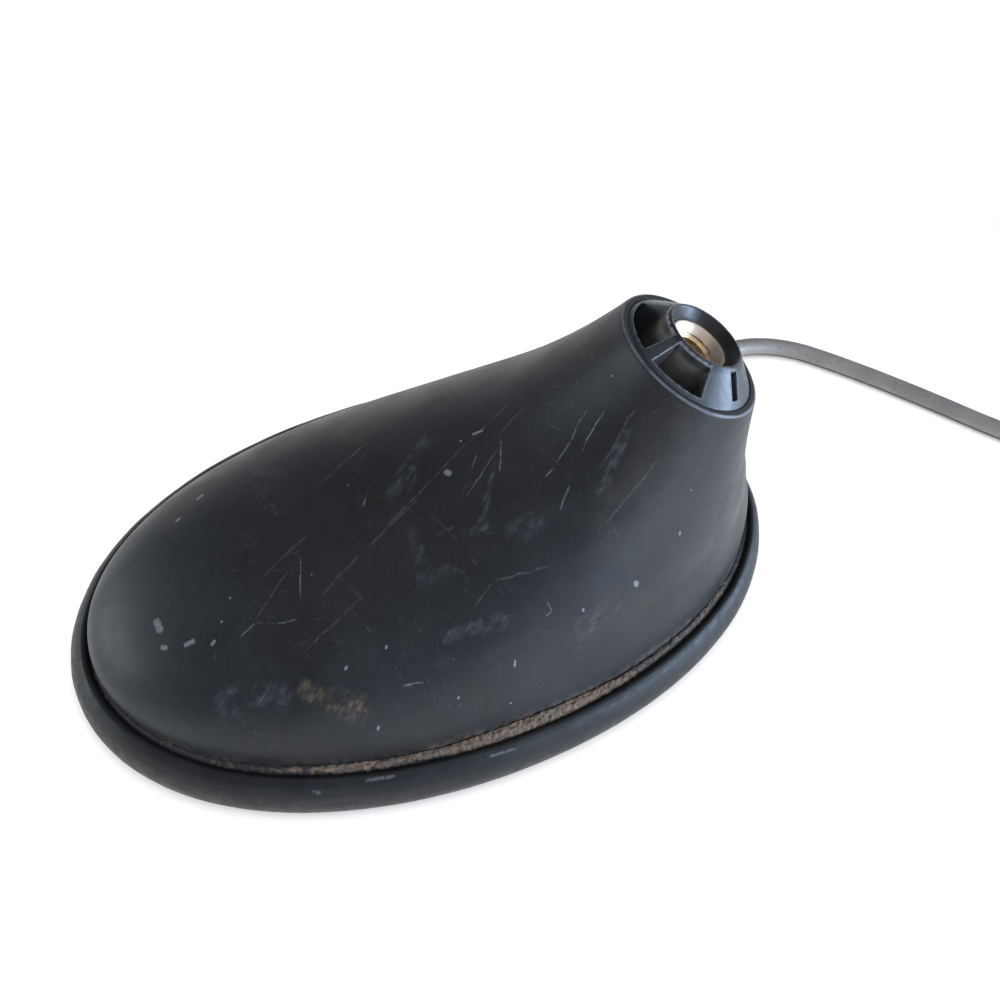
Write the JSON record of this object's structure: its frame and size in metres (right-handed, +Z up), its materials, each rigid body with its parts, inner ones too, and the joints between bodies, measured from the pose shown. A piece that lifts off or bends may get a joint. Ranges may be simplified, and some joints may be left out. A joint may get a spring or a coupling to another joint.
{
  "type": "antenna base",
  "caption": "Car-roof foot of a rod antenna: raked plastic housing on an oval rubber gasket, threaded rod socket, amplifier board on a cast base, coaxial lead with a screw connector.",
  "frame": {"origin": "centre of the foot's flat underside, where it stands on the roof", "axes": "+X towards the neck end, nose at -X, +Z up away from the roof"},
  "size_m": [0.2001, 0.0667, 0.0434],
  "materials": {
    "housing_plastic": "moulded, weathered",
    "gasket_rubber": "moulded rubber, dusty",
    "zinc_casting": "as-cast zinc",
    "plated_steel": "zinc plated",
    "insert_plastic": "moulded, glass filled",
    "nickel_brass": "nickel plated, worn to the brass in places",
    "seal_rubber": "smooth rubber",
    "spring_steel": "spring steel",
    "tinned_bronze": "tinned",
    "board_laminate": "solder resist",
    "tinplate": "tinned",
    "chip_epoxy": "moulded epoxy",
    "chip_ceramic": "ceramic",
    "copper_wire": "enamelled copper",
    "cable_jacket": "smooth PVC, taupe grey",
    "tinned_braid": "tinned braid",
    "dielectric": "polyethylene",
    "tie_nylon": "nylon",
    "gold_contact": "gold plated"
  },
  "bodies": {
    "root": {"housing_shell": "housing_plastic", "base_gasket": "gasket_rubber", "base_plate": "zinc_casting", "fixing_insert": "plated_steel", "housing_screws": "plated_steel", "cable_grommet": "gasket_rubber", "mast_insert": "insert_plastic", "mast_bush": "nickel_brass", "neck_oring": "seal_rubber", "insert_retainer": "spring_steel", "feed_lug": "tinned_bronze", "lug_spring_washer": "spring_steel", "lug_nut": "nickel_brass", "circuit_board": "board_laminate", "board_screws": "plated_steel", "shield_can": "tinplate", "amplifier_transistor": "chip_epoxy", "surge_diode": "chip_epoxy", "chip_capacitors": "chip_ceramic", "chip_resistors": "chip_epoxy", "wound_inductors": "copper_wire", "coax_lead_inner": "cable_jacket", "coax_braid_end": "tinned_braid", "coax_dielectric_end": "dielectric", "coax_core_end": "copper_wire", "coax_clamp": "tinplate", "clamp_screws": "plated_steel", "antenna_cable": "cable_jacket", "cable_coil": "cable_jacket", "cable_tail": "cable_jacket", "coil_tie": "tie_nylon", "connector_boot": "seal_rubber", "crimp_ferrule": "nickel_brass", "connector_body": "nickel_brass", "connector_insulator": "dielectric", "centre_contact": "gold_contact", "nut_snap_ring": "spring_steel"},
    "connector_nut": {"coupling_nut": "nickel_brass"}
  },
  "joints": [
    {"name": "nut_spin", "type": "hinge", "parent": "root", "child": "connector_nut", "pos_m": [0.1448, 0.0274, 0.0053], "axis": [0, 1, 0], "continuous": true}
  ]
}
